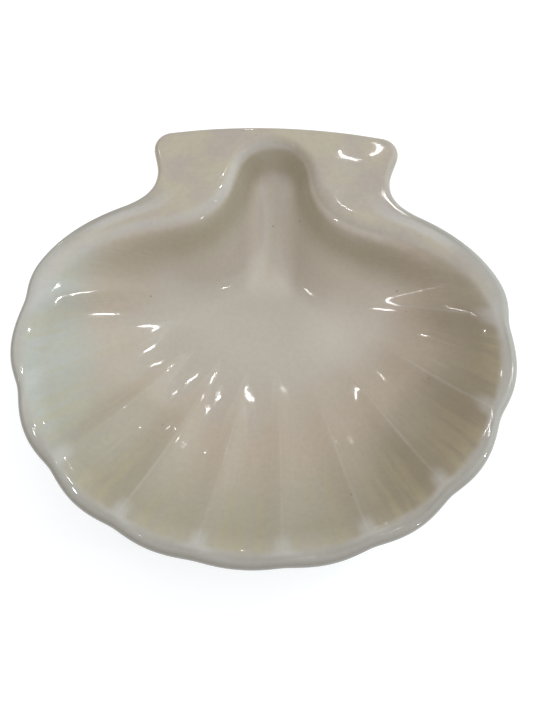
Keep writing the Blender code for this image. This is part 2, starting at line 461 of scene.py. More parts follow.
    def inset_share(self, ends: np.ndarray, turn: np.ndarray, inset: float) -> np.ndarray:
        """Find the shares at which the mesh lines are a given distance inside the edge.

        Args:
            ends: Outer end of each line.
            turn: Each line's place counted in lobes.
            inset: The distance inside the edge.

        Returns:
            One share to a line.
        """
        near = np.zeros(len(turn))
        far = np.ones(len(turn))
        for _ in range(self.ring_halvings):
            half = (near + far) / 2
            place = self.line_place(ends, turn, half)
            within = self.edge_clearance(place[:, 0], place[:, 1], turn) < -inset
            near = np.where(within, half, near)
            far = np.where(within, far, half)
        return near


class NodeBoard:
    """Adds nodes to a material's tree and joins them up."""

    def __init__(self, owner: bpy.types.Material | bpy.types.World) -> None:
        """Clear the tree of a material or the world for new nodes.

        Args:
            owner: The material or the world.
        """
        owner.use_nodes = True
        self.tree = owner.node_tree
        self.tree.nodes.clear()

    def add(self, kind: str, **settings: object) -> bpy.types.Node:
        """Add a node.

        Args:
            kind: Blender's name of the node type.
            **settings: Properties to set on it.

        Returns:
            The node.
        """
        node = self.tree.nodes.new(kind)
        for name, value in settings.items():
            setattr(node, name, value)
        return node

    def feed(self, socket: bpy.types.NodeSocket, value: object) -> None:
        """Join an output to an input, or set the input to a plain value.

        Args:
            socket: The input.
            value: An output socket, a number or a colour.
        """
        if isinstance(value, bpy.types.NodeSocket):
            self.tree.links.new(value, socket)
        elif isinstance(value, tuple) and len(value) == 3 and socket.type == "RGBA":
            socket.default_value = (*value, 1.0)
        else:
            socket.default_value = value

    def math(self, operation: str, *values: object) -> bpy.types.NodeSocket:
        """Combine numbers.

        Args:
            operation: Blender's name of the operation.
            *values: Numbers or sockets.

        Returns:
            The result.
        """
        node = self.add("ShaderNodeMath", operation=operation)
        for socket, value in zip(node.inputs, values):
            self.feed(socket, value)
        return node.outputs[0]

    def product(self, first: object, *others: object) -> object:
        """Multiply numbers.

        Args:
            first: A number or socket.
            *others: More of them, if any.

        Returns:
            Their product.
        """
        for other in others:
            first = self.math("MULTIPLY", first, other)
        return first

    def rise(
        self, value: object, low: float, high: float, start: float = 0.0, end: float = 1.0
    ) -> bpy.types.NodeSocket:
        """Ease a number from one value to another between two limits.

        Args:
            value: The number.
            low: Where it starts to change.
            high: Where it stops.
            start: Result at the low limit.
            end: Result at the high limit.

        Returns:
            The eased number.
        """
        node = self.add("ShaderNodeMapRange", interpolation_type="SMOOTHSTEP")
        for name, item in (
            ("Value", value),
            ("From Min", low),
            ("From Max", high),
            ("To Min", start),
            ("To Max", end),
        ):
            self.feed(node.inputs[name], item)
        return node.outputs["Result"]

    def swayed(self, value: object, noise: object, size: float) -> bpy.types.NodeSocket:
        """Shift a number to and fro with noise.

        Args:
            value: The number.
            noise: The noise.
            size: The largest shift either way.

        Returns:
            The shifted number.
        """
        return self.math("ADD", value, self.rise(noise, *NOISE_SPAN, -size, size))

    def mix(self, share: object, low: object, high: object, blend: str = "MIX") -> bpy.types.NodeSocket:
        """Mix two colours.

        Args:
            share: Share of the second colour.
            low: First colour.
            high: Second colour.
            blend: Blender's name of the way they mix.

        Returns:
            The mixed colour.
        """
        node = self.add("ShaderNodeMix", data_type="RGBA", blend_type=blend)
        self.feed(node.inputs[0], share)
        self.feed(node.inputs[6], low)
        self.feed(node.inputs[7], high)
        return node.outputs[2]

    def trace(self, trace: Trace) -> bpy.types.NodeSocket:
        """Read a value that the mesh carries."""
        return self.add("ShaderNodeAttribute", attribute_name=trace.value).outputs["Fac"]

    def place(self) -> bpy.types.NodeSocket:
        """Read the place on the object, in metres."""
        return self.add("ShaderNodeTexCoord").outputs["Object"]

    def vector(self, x: object, y: object, z: object) -> bpy.types.NodeSocket:
        """Make a vector.

        Args:
            x: Its first number or socket.
            y: Its second.
            z: Its third.

        Returns:
            The vector.
        """
        node = self.add("ShaderNodeCombineXYZ")
        for socket, value in zip(node.inputs, (x, y, z)):
            self.feed(socket, value)
        return node.outputs[0]

    def split(self, vector: bpy.types.NodeSocket) -> bpy.types.NodeOutputs:
        """Split a vector into its parts.

        Args:
            vector: The vector.

        Returns:
            The parts, by the names X, Y and Z.
        """
        node = self.add("ShaderNodeSeparateXYZ")
        self.feed(node.inputs[0], vector)
        return node.outputs

    def along(self, vector: bpy.types.NodeSocket, heading: Point) -> bpy.types.NodeSocket:
        """Measure a vector along a heading.

        Args:
            vector: The vector.
            heading: The heading.

        Returns:
            The measure.
        """
        node = self.add("ShaderNodeVectorMath", operation="DOT_PRODUCT")
        self.feed(node.inputs[0], vector)
        self.feed(node.inputs[1], heading)
        return node.outputs["Value"]

    def noise(self, vector: bpy.types.NodeSocket, grain: Grain) -> bpy.types.NodeSocket:
        """Make cloudy noise.

        Args:
            vector: Where it is looked up.
            grain: Its grain.

        Returns:
            A number from 0 to 1, mostly near the middle.
        """
        node = self.add("ShaderNodeTexNoise")
        self.feed(node.inputs["Vector"], vector)
        node.inputs["Scale"].default_value = grain.fineness
        node.inputs["Detail"].default_value = grain.detail
        node.inputs["Roughness"].default_value = grain.rough
        return node.outputs["Fac"]

    def rib_noise(self, grain: RibGrain) -> bpy.types.NodeSocket:
        """Make noise that is stretched along the pleats.

        Args:
            grain: Its grain.

        Returns:
            A number from 0 to 1, mostly near the middle.
        """
        turn = self.math("MULTIPLY", self.trace(Trace.TURN), grain.across)
        reach = self.math("MULTIPLY", self.trace(Trace.REACH), grain.along)
        return self.noise(self.vector(turn, reach, 0.0), Grain(1.0, grain.detail, grain.rough))

    def light(self, colour: object, strength: object = 1.0) -> bpy.types.NodeSocket:
        """Make the light of a sky.

        Args:
            colour: Its colour.
            strength: Its strength.

        Returns:
            The background shader.
        """
        node = self.add("ShaderNodeBackground")
        self.feed(node.inputs["Color"], colour)
        self.feed(node.inputs["Strength"], strength)
        return node.outputs["Background"]

    def show(self, surface: bpy.types.NodeSocket, output: str = "ShaderNodeOutputMaterial") -> None:
        """Send a finished shader to the output."""
        self.feed(self.add(output).inputs["Surface"], surface)


@dataclass
class GlazeBrush:
    """Lays colours over each other on a material's nodes."""

    board: NodeBoard
    guides: dict[Guide, bpy.types.NodeSocket]

    def lay(self, tone: object, layers: tuple[Layer, ...]) -> bpy.types.NodeSocket:
        """Lay layers over a colour.

        Args:
            tone: The colour.
            layers: The layers, the lowest first.

        Returns:
            The colour that they make.
        """
        for layer in layers:
            shares = (
                self.board.rise(self.guides[fade.guide], fade.low, fade.high, fade.start, fade.end)
                for fade in layer.fades
            )
            tone = self.board.mix(self.board.product(*shares), tone, layer.colour)
        return tone

    def tint(self, tone: Colour, other: Colour, fade: Fade) -> bpy.types.NodeSocket:
        """Turn a colour into another one along a single fade."""
        return self.lay(tone, (Layer(other, (fade,)),))


@dataclass(frozen=True)
class IvoryGlaze:
    """Glossy ivory glaze: white on the lip, warm in the bowl, and pooled in the grooves."""

    floor: Colour = (0.505, 0.435, 0.355)
    # Cream is the beak floor's tone, and also painted light on the right of the bowl.
    cream_and_painted_light: Colour = (0.60, 0.52, 0.43)
    tan: Colour = (0.475, 0.38, 0.288)
    outer: Colour = (0.42, 0.365, 0.28)
    # Honey is glaze pooled in the grooves, and also painted shade on the left ridge lines.
    honey_and_painted_shade: Colour = (0.45, 0.38, 0.235)
    # Painted reflection: a cool pale sheen for the left of the bowl's outer ring.
    painted_cool_sheen: Colour = (0.435, 0.43, 0.38)
    # A darker brown: a tone at the front left, and painted shade on the right side.
    toast_and_painted_shade: Colour = (0.325, 0.262, 0.182)
    # Brown of the steep walls: painted shade, and thin glaze over the clay.
    wall: Colour = (0.385, 0.325, 0.235)
    lip: Colour = (0.355, 0.32, 0.268)
    # Paler lip at the sides: pale glaze and painted highlight.
    side_lip_and_highlight: Colour = (0.43, 0.395, 0.338)
    # Painted shade along the lip's outer edge.
    rim: Colour = (0.30, 0.275, 0.23)
    ear: Colour = (0.43, 0.358, 0.293)
    # Pale glaze on the ridges, the lip and scuffs, and a painted highlight on the mouth's roll.
    pale_glaze_and_highlight: Colour = (0.53, 0.49, 0.445)
    tongue: Colour = (0.45, 0.378, 0.30)
    streak: Colour = (0.50, 0.43, 0.30)
    speck: Colour = (0.16, 0.12, 0.09)
    under: Colour = (0.50, 0.46, 0.39)
    roughness: float = 0.06
    scuffed: float = 0.14
    scuff_paleness: float = 0.14
    ior: float = 1.52
    waviness: float = 0.06 * MM
    waves: Grain = Grain(110.0, 2.0, 0.5)
    cloud: Grain = Grain(45.0, 3.0, 0.55)
    reach_blur: float = 0.035
    depth_blur: float = 0.5
    blush: Grain = Grain(70.0, 4.0, 0.6)
    mottle: Grain = Grain(650.0, 5.0, 0.7)
    mottle_strength: float = 0.10
    tongue_waves: tuple[float, float] = (-0.9, 0.9)
    tongue_tips: tuple[float, float] = (0.65, 0.42)
    tongue_lengths: RibGrain = RibGrain(0.9, 0.0, 1.0)
    tongue_change: float = 0.06
    tongue_rags: RibGrain = RibGrain(14.0, 5.0, 4.0)
    tongue_raggedness: float = 0.012
    patches: RibGrain = RibGrain(7.0, 4.0)
    wear: RibGrain = RibGrain(1.3, 4.0)
    scuffs: RibGrain = RibGrain(45.0, 6.0, 3.0, 0.6)
    scuff_marks: tuple[float, float] = (0.52, 0.68)
    scuff_start: tuple[float, float] = (0.4, 0.6)
    scuff_end: tuple[float, float] = (0.9, 0.75)
    speck_fineness: float = 330.0
    speck_rarity: float = 0.93
    speck_size: float = 0.11
    speck_strength: float = 0.5

    def guides(self, board: NodeBoard) -> dict[Guide, bpy.types.NodeSocket]:
        """Make the values that the layers of colour are placed by.

        Args:
            board: The material's nodes.

        Returns:
            One value to each guide.
        """
        place = board.place()
        spot = board.split(place)
        cloud = board.noise(place, self.cloud)
        reach = board.trace(Trace.REACH)
        wave = board.trace(Trace.WAVE)
        tip = board.rise(wave, *self.tongue_waves, *self.tongue_tips)
        tip = board.swayed(tip, board.rib_noise(self.tongue_lengths), self.tongue_change)
        ahead = board.swayed(reach, board.rib_noise(self.tongue_rags), self.tongue_raggedness)
        normal = board.add("ShaderNodeNewGeometry").outputs["Normal"]
        return {
            Guide.WAVE: wave,
            Guide.REACH: reach,
            Guide.CLOUDY_REACH: board.swayed(reach, cloud, self.reach_blur),
            Guide.DEPTH: board.swayed(board.trace(Trace.DEPTH), cloud, self.depth_blur),
            Guide.EDGE: board.trace(Trace.EDGE),
            Guide.RIGHT: spot["X"],
            Guide.ASIDE: board.math("ABSOLUTE", spot["X"]),
            Guide.BACK: spot["Y"],
            Guide.LEVEL: board.split(normal)["Z"],
            Guide.TONGUE: board.math("SUBTRACT", ahead, tip),
            Guide.PATCH: board.rib_noise(self.patches),
            Guide.WEAR: board.rib_noise(self.wear),
            Guide.BLUSH: board.noise(place, self.blush),
        }

    def bowl_layers(self) -> tuple[Layer, ...]:
        """List the layers of the bowl: its slopes, painted light on its right, a darker brown tone at
        the front left, a painted cool sheen and painted shade on the two sides of its outer ring, and
        the pooled glaze in its grooves.

        Returns:
            The layers, the lowest first.
        """
        outer_ring = Fade(Guide.CLOUDY_REACH, 0.66, 0.86)
        # Painted light: cream laid only on the right half of the bowl, brightening it there.
        painted_right_light = (
            Fade(Guide.CLOUDY_REACH, 0.10, 0.25),
            Fade(Guide.CLOUDY_REACH, 0.72, 0.5),
            Fade(Guide.BACK, -0.010, 0.008),
            Fade(Guide.RIGHT, 0.006, 0.024, end=0.85),
        )
        # A darker brown tone on the left of the front wall.
        left_front_toast = (
            Fade(Guide.RIGHT, -0.016, -0.030),
            Fade(Guide.RIGHT, -0.060, -0.046),
            Fade(Guide.BACK, -0.008, -0.022),
            Fade(Guide.CLOUDY_REACH, 0.58, 0.72, end=0.42),
        )
        pooled = (
            Fade(Guide.CLOUDY_REACH, 0.74, 0.9),
            Fade(Guide.WAVE, 0.5, -0.6),
            Fade(Guide.PATCH, 0.42, 0.60, end=0.45),
        )
        return (
            Layer(self.tan, (Fade(Guide.CLOUDY_REACH, 0.42, 0.66),)),
            Layer(self.outer, (Fade(Guide.CLOUDY_REACH, 0.68, 0.92),)),
            Layer(self.cream_and_painted_light, painted_right_light),
            Layer(self.toast_and_painted_shade, left_front_toast),
            # Painted reflection: a cool pale sheen on the left of the outer ring.
            Layer(self.painted_cool_sheen, (outer_ring, Fade(Guide.RIGHT, -0.042, -0.060, end=0.8))),
            # Painted shade: the right of the outer ring darkened to brown.
            Layer(self.toast_and_painted_shade, (outer_ring, Fade(Guide.RIGHT, 0.016, 0.044, end=0.95))),
            Layer(self.honey_and_painted_shade, pooled),
        )

    def pleat_layers(self, ridge_line_and_shade: bpy.types.NodeSocket) -> tuple[Layer, ...]:
        """List the layers of the pleats: grey tongues in the grooves and pale lines on the ridges, which
        turn yellow-brown on the left as painted shade.

        Args:
            ridge_line_and_shade: Colour of the lines.

        Returns:
            The layers, the lowest first.
        """
        tongues = (
            Fade(Guide.TONGUE, 0.02, -0.02),
            Fade(Guide.REACH, 0.3, 0.5),
            Fade(Guide.BACK, 0.014, 0.002),
            Fade(Guide.RIGHT, 0.020, -0.005, 0.1, 0.65),
        )
        lines = (
            Fade(Guide.WAVE, 0.90, 1.0),
            Fade(Guide.REACH, 0.45, 0.72),
            Fade(Guide.WEAR, 0.35, 0.65, 0.08, 0.36),
        )
        under_lip = (Fade(Guide.WAVE, 0.3, 0.95), Fade(Guide.EDGE, 9.5, 4.8, end=0.5))
        return Layer(self.tongue, tongues), Layer(ridge_line_and_shade, lines), Layer(self.pale_glaze_and_highlight, under_lip)

    def wall_layers(self, wall: bpy.types.NodeSocket) -> tuple[Layer, ...]:
        """List the layers of the steep walls, brown as painted shade and thin glaze, and of the beak's
        floor between them.

        Args:
            wall: Colour of the walls, painted shade and thin glaze, darker on the right as painted
                shade.

        Returns:
            The layers, the lowest first.
        """
        # Painted shade and thin glaze: brown where the walls stand steep.
        steep = (
            Fade(Guide.LEVEL, 0.84, 0.5),
            Fade(Guide.DEPTH, 0.8, 3.5),
            Fade(Guide.DEPTH, 16.0, 7.0, end=0.9),
        )
        valley = (
            Fade(Guide.ASIDE, 0.0095, 0.005),
            Fade(Guide.BACK, 0.016, 0.026),
            Fade(Guide.DEPTH, 8.0, 14.0, end=0.85),
        )
        middle = (
            Fade(Guide.ASIDE, 0.0035, 0.0005),
            Fade(Guide.BACK, 0.020, 0.032),
            Fade(Guide.DEPTH, 8.0, 14.0, end=0.4),
        )
        return Layer(wall, steep), Layer(self.cream_and_painted_light, valley), Layer(self.streak, middle)

    def land_layers(self, lip: bpy.types.NodeSocket) -> tuple[Layer, ...]:
        """List the layers of the land outside the mouth: the ears' blush, the lip, its brim and a
        painted shade line along its outer edge.

        Args:
            lip: Colour of the lip.

        Returns:
            The layers, the lowest first.
        """
        beside = Fade(Guide.BACK, 0.044, 0.030)
        brim = (
            beside,
            Fade(Guide.EDGE, 2.0, 3.6),
            Fade(Guide.EDGE, 7.0, 5.0),
            Fade(Guide.WAVE, -0.6, 0.8, 0.15, 0.6),
        )
        # Painted shade: a dark line along the lip's outer edge, weaker on the right.
        outside = (
            beside,
            Fade(Guide.EDGE, 1.9, 0.7),
            Fade(Guide.RIGHT, 0.055, 0.020, 0.1, 0.6),
        )
        return (
            Layer(self.streak, (Fade(Guide.BLUSH, 0.4, 0.65, end=0.6),)),
            Layer(lip, (beside, Fade(Guide.EDGE, 6.0, 2.0))),
            Layer(self.pale_glaze_and_highlight, brim),
            Layer(self.rim, outside),
        )

    def mouth_layers(self, land: bpy.types.NodeSocket) -> tuple[Layer, ...]:
        """List the layers that meet at the mouth: the land round it and the pale roll behind it, pale
        glaze with a painted highlight that is stronger on the left.

        Args:
            land: Colour of the land.

        Returns:
            The layers, the lowest first.
        """
        # Pale glaze and painted highlight: a band along the mouth's roll, stronger on the left.
        roll = (
            Fade(Guide.DEPTH, -5.0, -1.5),
            Fade(Guide.DEPTH, 2.4, -0.2),
            Fade(Guide.BACK, -0.010, 0.015),
            Fade(Guide.RIGHT, 0.012, -0.012, 0.15, 0.5),
        )
        return Layer(land, (Fade(Guide.DEPTH, 0.8, -1.2),)), Layer(self.pale_glaze_and_highlight, roll)

    def colour(self, board: NodeBoard) -> bpy.types.NodeSocket:
        """Colour the whole dish.

        Args:
            board: The material's nodes.

        Returns:
            The colour.
        """
        brush = GlazeBrush(board, self.guides(board))
        # Painted shade: the pale ridge lines turn yellow-brown on the left.
        ridge_line_and_shade = brush.tint(self.pale_glaze_and_highlight, self.honey_and_painted_shade, Fade(Guide.RIGHT, -0.030, -0.045))
        # Painted shade: the walls turn darker brown on the right.
        wall = brush.tint(self.wall, self.toast_and_painted_shade, Fade(Guide.RIGHT, 0.018, 0.040, end=0.7))
        # Pale glaze and painted highlight: the lip turns lighter towards the sides.
        lip = brush.tint(self.lip, self.side_lip_and_highlight, Fade(Guide.ASIDE, 0.052, 0.064))
        land = brush.lay(self.ear, self.land_layers(lip))
        tone = brush.lay(self.floor, self.bowl_layers() + self.pleat_layers(ridge_line_and_shade))
        tone = brush.lay(tone, self.wall_layers(wall) + self.mouth_layers(land))
        tone = board.mix(board.trace(Trace.INSIDE), self.under, tone)
        mottle = board.noise(board.place(), self.mottle)
        dark, pale = (1.0 - self.mottle_strength,) * 3, (1.0 + self.mottle_strength,) * 3
        return board.mix(1.0, tone, board.mix(mottle, dark, pale), "MULTIPLY")

    def specks(self, board: NodeBoard, tone: bpy.types.NodeSocket) -> bpy.types.NodeSocket:
        """Scatter iron specks and pinholes in the glaze.

        Args:
            board: The material's nodes.
            tone: The colour under them.

        Returns:
            The colour.
        """
        grains = board.add("ShaderNodeTexVoronoi")
        board.feed(grains.inputs["Vector"], board.place())
        grains.inputs["Scale"].default_value = self.speck_fineness
        chance = board.split(grains.outputs["Color"])["X"]
        size = board.rise(chance, self.speck_rarity, 1.0, 0.0, self.speck_size)
        dot = board.math("LESS_THAN", grains.outputs["Distance"], size)
        return board.mix(board.product(dot, self.speck_strength), tone, self.speck)

    def material(self) -> bpy.types.Material:
        """Make the glaze.

        Returns:
            The material.
        """
        material = bpy.data.materials.new("ivory_glaze_fired")
        board = NodeBoard(material)
        reach = board.trace(Trace.REACH)
        scuff = board.product(
            board.rise(reach, *self.scuff_start),
            board.rise(reach, *self.scuff_end),
            board.rise(board.rib_noise(self.scuffs), *self.scuff_marks),
        )
        tone = self.specks(board, self.colour(board))
        tone = board.mix(board.product(scuff, self.scuff_paleness), tone, self.pale_glaze_and_highlight)
        bump = board.add("ShaderNodeBump")
        board.feed(bump.inputs["Height"], board.noise(board.place(), self.waves))
        bump.inputs["Distance"].default_value = self.waviness
        shader = board.add("ShaderNodeBsdfPrincipled")
        board.feed(shader.inputs["Base Color"], tone)
        board.feed(shader.inputs["Roughness"], board.rise(scuff, 0.0, 1.0, self.roughness, self.scuffed))
        board.feed(shader.inputs["Normal"], bump.outputs["Normal"])
        shader.inputs["IOR"].default_value = self.ior
        board.show(shader.outputs["BSDF"])
        return material


@dataclass(frozen=True)
class BareClay:
    """Unglazed biscuit on the face that the foot ring stands on."""

    colour: Colour = (0.62, 0.56, 0.47)
    shade: float = 0.86
    roughness: float = 0.9
    cloud: Grain = Grain(900.0, 4.0, 0.6)

    def material(self) -> bpy.types.Material:
        """Make the biscuit.

        Returns:
            The material.
        """
        material = bpy.data.materials.new("bare_clay")
        board = NodeBoard(material)
        cloud = board.noise(board.place(), self.cloud)
        dark = tuple(self.shade * part for part in self.colour)
        shader = board.add("ShaderNodeBsdfPrincipled")
        board.feed(shader.inputs["Base Color"], board.mix(cloud, dark, self.colour))
        shader.inputs["Roughness"].default_value = self.roughness
        board.show(shader.outputs["BSDF"])
        return material


@dataclass
class ShellDish:
    """The moulded dish, from its lip to its foot ring, as one closed mesh."""

    form: ShellForm = field(default_factory=ShellForm)
    glaze: IvoryGlaze = field(default_factory=IvoryGlaze)
    clay: BareClay = field(default_factory=BareClay)
    foot_diameter: float = 50.0 * MM
    foot_band: float = 3.6 * MM
    foot_draft: float = 0.7 * MM
    foot_round: float = 0.6 * MM
    foot_round_steps: int = 4
    foot_top: float = 7.0 * MM
    foot_sides: int = 128
    lines_per_lobe: int = 20
    ear_lines: int = 62
    bowl_rings: int = 62
    rim_rings: int = 14
    rim_gap: float = 0.62 * MM
    rim_inset: float = 1.2
    round_steps: int = 8
    steepest: float = 0.35
    middle_edge: float = 40.0
    middle_depth: float = 26.0
    floor_facing: float = -0.7
    sharp_angle: float = math.radians(50.0)

    def lines(self) -> tuple[np.ndarray, np.ndarray]:
        """Lay out the mesh lines from the front round to the hinge.

        Returns:
            The outer end of each line, and its place counted in lobes.
        """
        form = self.form
        fan_lines = round(form.shoulder * self.lines_per_lobe)
        turn = np.linspace(0.0, form.shoulder, fan_lines + 1)
        fan_ends = form.line_ends(form.focus, form.rib_angle(turn), turn)
        shoulder = fan_ends[-1] - form.middle
        first = math.atan2(shoulder[0], -shoulder[1])
        angle = np.linspace(first, math.pi, self.ear_lines + 1)[1:]
        ear_turn = np.full(self.ear_lines, form.shoulder)
        ear_ends = form.line_ends(form.middle, angle, ear_turn)
        return np.vstack((fan_ends, ear_ends)), np.concatenate((turn, ear_turn))

    def rings(self, ends: np.ndarray, turn: np.ndarray) -> list[np.ndarray]:
        """Share of the way out of each ring of the inner surface, on every line.

        Args:
            ends: Outer end of each line.
            turn: Each line's place counted in lobes.

        Returns:
            One array of shares to a ring, from the middle outwards.
        """
        start = self.rim_inset * self.form.lip_round
        insets = [start + self.rim_gap * k for k in range(self.rim_rings - 1, -1, -1)]
        rim = [self.form.inset_share(ends, turn, inset) for inset in insets]
        steps = np.arange(1, self.bowl_rings) / self.bowl_rings
        return [rim[0] * step for step in steps] + rim

    def mirrored(self, row: np.ndarray, flip: bool = False) -> np.ndarray:
        """Carry a row of the right half round the left half.

        Args:
            row: Values or places, one to a line, from the front to the hinge.
            flip: Whether the first column changes sign on the left.

        Returns:
            The row all the way round.
        """
        other = row[-2:0:-1].copy()
        if flip and other.ndim == 2:
            other[:, 0] *= -1.0
        elif flip:
            other *= -1.0
        return np.concatenate((row, other))

    def shell_mesh(self) -> bpy.types.Mesh:
        """Build the closed wall of the dish, without its foot.

        Returns:
            The mesh, with the values that the glaze reads.
        """
        form = self.form
        ends, turn = self.lines()
        shares = self.rings(ends, turn)
        rows: list[np.ndarray] = []
        reaches: list[np.ndarray] = []
        for share in shares:
            place = form.line_place(ends, turn, share)
            z = form.height(place[:, 0], place[:, 1], turn, share)
            rows.append(self.mirrored(np.column_stack((place, z)), flip=True))
            reaches.append(self.mirrored(share))
        loop = self.mirrored(ends, flip=True)
        along = np.roll(loop, -1, axis=0) - np.roll(loop, 1, axis=0)
        outward = np.column_stack((-along[:, 1], along[:, 0]))
        outward /= -np.linalg.norm(outward, axis=1)[:, None]
        full_turn = self.mirrored(turn)
        inner = loop - outward * form.lip_round
        top_z = form.height(inner[:, 0], inner[:, 1], full_turn, np.ones(len(loop)))
        centre_z = top_z - form.lip_round
        arc = np.linspace(0.0, math.pi / 2, self.round_steps + 1)
        upper = [self.arc_row(inner, outward, centre_z, a) for a in arc]
        low_z = top_z - form.wall + form.lip_round
        lower = [self.arc_row(inner, outward, low_z, math.pi / 2 + a) for a in arc]
        under = self.underside(rows)
        ones = np.ones(len(loop))
        all_rows = rows + upper + lower + under
        all_reach = reaches + [ones] * (len(upper) + len(lower)) + reaches[::-1]
        inside = [1.0] * (len(rows) + len(upper)) + [0.0] * (len(lower) + len(under))
        centre = np.array((*form.middle, 0.0))
        zero = np.zeros(1)
        pole_z = form.height(zero, form.middle[1:], zero, zero)[0]
        top_pole = centre + (0.0, 0.0, pole_z)
        low_pole = np.array((0.0, form.middle[1], under[-1][:, 2].mean()))
        return self.closed_mesh(all_rows, (top_pole, low_pole), all_reach, inside, full_turn)

    def arc_row(
        self, inner: np.ndarray, outward: np.ndarray, centre_z: np.ndarray, angle: float
    ) -> np.ndarray:
        """Lay one row of points round the lip's section.

        Args:
            inner: Plan of the round's centre line.
            outward: Outward direction in plan.
            centre_z: Height of the round's centre.
            angle: 0 on top of the lip and pi underneath.

        Returns:
            One row of (x, y, z) all the way round.
        """
        radius = self.form.lip_round
        plan = inner + outward * (radius * math.sin(angle))
        return np.column_stack((plan, centre_z + radius * math.cos(angle)))

    def underside(self, rows: list[np.ndarray]) -> list[np.ndarray]:
        """Lay the outer surface a wall's thickness under the inner one.

        Args:
            rows: The inner surface's rows, from the middle outwards.

        Returns:
            The outer surface's rows, from the edge inwards.
        """
        grid = np.stack(rows)
        along = np.gradient(grid, axis=0)
        across = (np.roll(grid, -1, axis=1) - np.roll(grid, 1, axis=1)) / 2
        normal = np.cross(along, across)
        upright = np.abs(normal[..., 2]) / np.maximum(np.linalg.norm(normal, axis=2), NO_AREA)
        thickness = self.form.wall / np.clip(upright, self.steepest, 1.0)
        lowered = grid.copy()
        lowered[..., 2] -= thickness
        return list(lowered[::-1])

    def closed_mesh(
        self,
        rows: list[np.ndarray],
        poles: tuple[np.ndarray, np.ndarray],
        reaches: list[np.ndarray],
        inside: list[float],
        turn: np.ndarray,
    ) -> bpy.types.Mesh:
        """Skin closed rows of points between two end points.

        Args:
            rows: Rows of (x, y, z), all of one length.
            poles: The end points before the first row and after the last.
            reaches: Share of the way out, to each row.
            inside: 1 for rows that are seen from above, else 0.
            turn: Place counted in lobes of each point in a row.

        Returns:
            The mesh, with the values that the glaze reads.
        """
        count = len(rows[0])
        points = np.vstack([poles[0][None], *rows, poles[1][None]])
        step = np.arange(count)
        after = (step + 1) % count
        faces = [(0, 1 + a, 1 + b) for a, b in zip(step, after)]
        for j in range(len(rows) - 1):
            near = 1 + j * count
            far = near + count
            faces += [(near + a, far + a, far + b, near + b) for a, b in zip(step, after)]
        last = 1 + (len(rows) - 1) * count
        faces += [(last + a, len(points) - 1, last + b) for a, b in zip(step, after)]
        mesh = bpy.data.meshes.new("shell_dish_fired")
        mesh.from_pydata(points.tolist(), [], [tuple(int(i) for i in f) for f in faces])
        side = np.where(np.arange(count) <= count // 2, 1.0, -1.0)
        wave = self.form.pleat_wave(turn)
        plan = points[1:-1, :2].reshape(len(rows), count, 2)
        edge = [-self.form.edge_clearance(p[:, 0], p[:, 1], turn) / MM for p in plan]
        depth = [self.form.mouth_depth(p[:, 0], p[:, 1]) / MM for p in plan]
        values = {
            Trace.WAVE: np.tile(wave, len(rows)),
            Trace.TURN: np.tile(turn * side, len(rows)),
            Trace.REACH: np.concatenate(reaches),
            Trace.EDGE: np.concatenate(edge),
            Trace.DEPTH: np.concatenate(depth),
            Trace.INSIDE: np.repeat(inside, count),
        }
        ends = {
            Trace.EDGE: (self.middle_edge, self.middle_edge),
            Trace.DEPTH: (self.middle_depth, self.middle_depth),
            Trace.INSIDE: (1.0, 0.0),
        }
        for trace, value in values.items():
            first, final = ends.get(trace, (0.0, 0.0))
            layer = mesh.attributes.new(trace.value, "FLOAT", "POINT")
            layer.data.foreach_set("value", np.concatenate(([first], value, [final])))
        mesh.update()
        return mesh

    def foot_mesh(self) -> bpy.types.Mesh:
        """Turn the foot ring, whose top lies in the middle of the wall above it.

        Returns:
            The ring's closed mesh.
        """
        form = self.form
        outer = self.foot_diameter / 2
        inner = outer - self.foot_band
        bend = self.foot_round
        quarter = [math.pi / 2 * k / self.foot_round_steps for k in range(self.foot_round_steps + 1)]
        profile = [(outer + self.foot_draft, self.foot_top)]
        profile += [(outer - bend + bend * math.cos(a), bend - bend * math.sin(a)) for a in quarter]
        profile += [(inner + bend - bend * math.sin(a), bend - bend * math.cos(a)) for a in quarter]
        profile.append((inner - self.foot_draft, self.foot_top))
        mesh = bmesh.new()
        verts = [mesh.verts.new((radius, 0.0, height)) for radius, height in profile]
        edges = [mesh.edges.new(pair) for pair in zip(verts, verts[1:] + verts[:1])]
        bmesh.ops.spin(
            mesh,
            geom=verts + edges,
            axis=(0.0, 0.0, 1.0),
            cent=(0.0, 0.0, 0.0),
            angle=2.0 * math.pi,
            steps=self.foot_sides,
            use_merge=True,
        )
        for vertex in mesh.verts:
            vertex.co.y += form.widest_y
            if vertex.co.z > self.foot_top - MM:
                depth = form.hollow(np.array([vertex.co.x]), np.array([vertex.co.y]))[0]
                vertex.co.z = form.rim_height - depth - form.wall / 2
        bmesh.ops.recalc_face_normals(mesh, faces=mesh.faces)
        data = bpy.data.meshes.new("foot_ring")
        mesh.to_mesh(data)
        mesh.free()
        return data

    def build(self) -> bpy.types.Object:
        """Make the dish, dress it and put it in its CAD node's place.

        Returns:
            The dish.
        """
        scene = bpy.context.scene.collection.objects
        shell = bpy.data.objects.new("shell_dish_fired", self.shell_mesh())
        foot = bpy.data.objects.new("foot_ring", self.foot_mesh())
        scene.link(shell)
        scene.link(foot)
        join = shell.modifiers.new("foot", "BOOLEAN")
        join.operation = "UNION"
        join.object = foot
        graph = bpy.context.evaluated_depsgraph_get()
        mesh = bpy.data.meshes.new_from_object(shell.evaluated_get(graph))
        shell.modifiers.clear()
        shell.data = mesh
        bpy.data.objects.remove(foot)
        self.dress(shell)
        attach(shell, "root")
        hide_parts("shell_dish")
        return shell

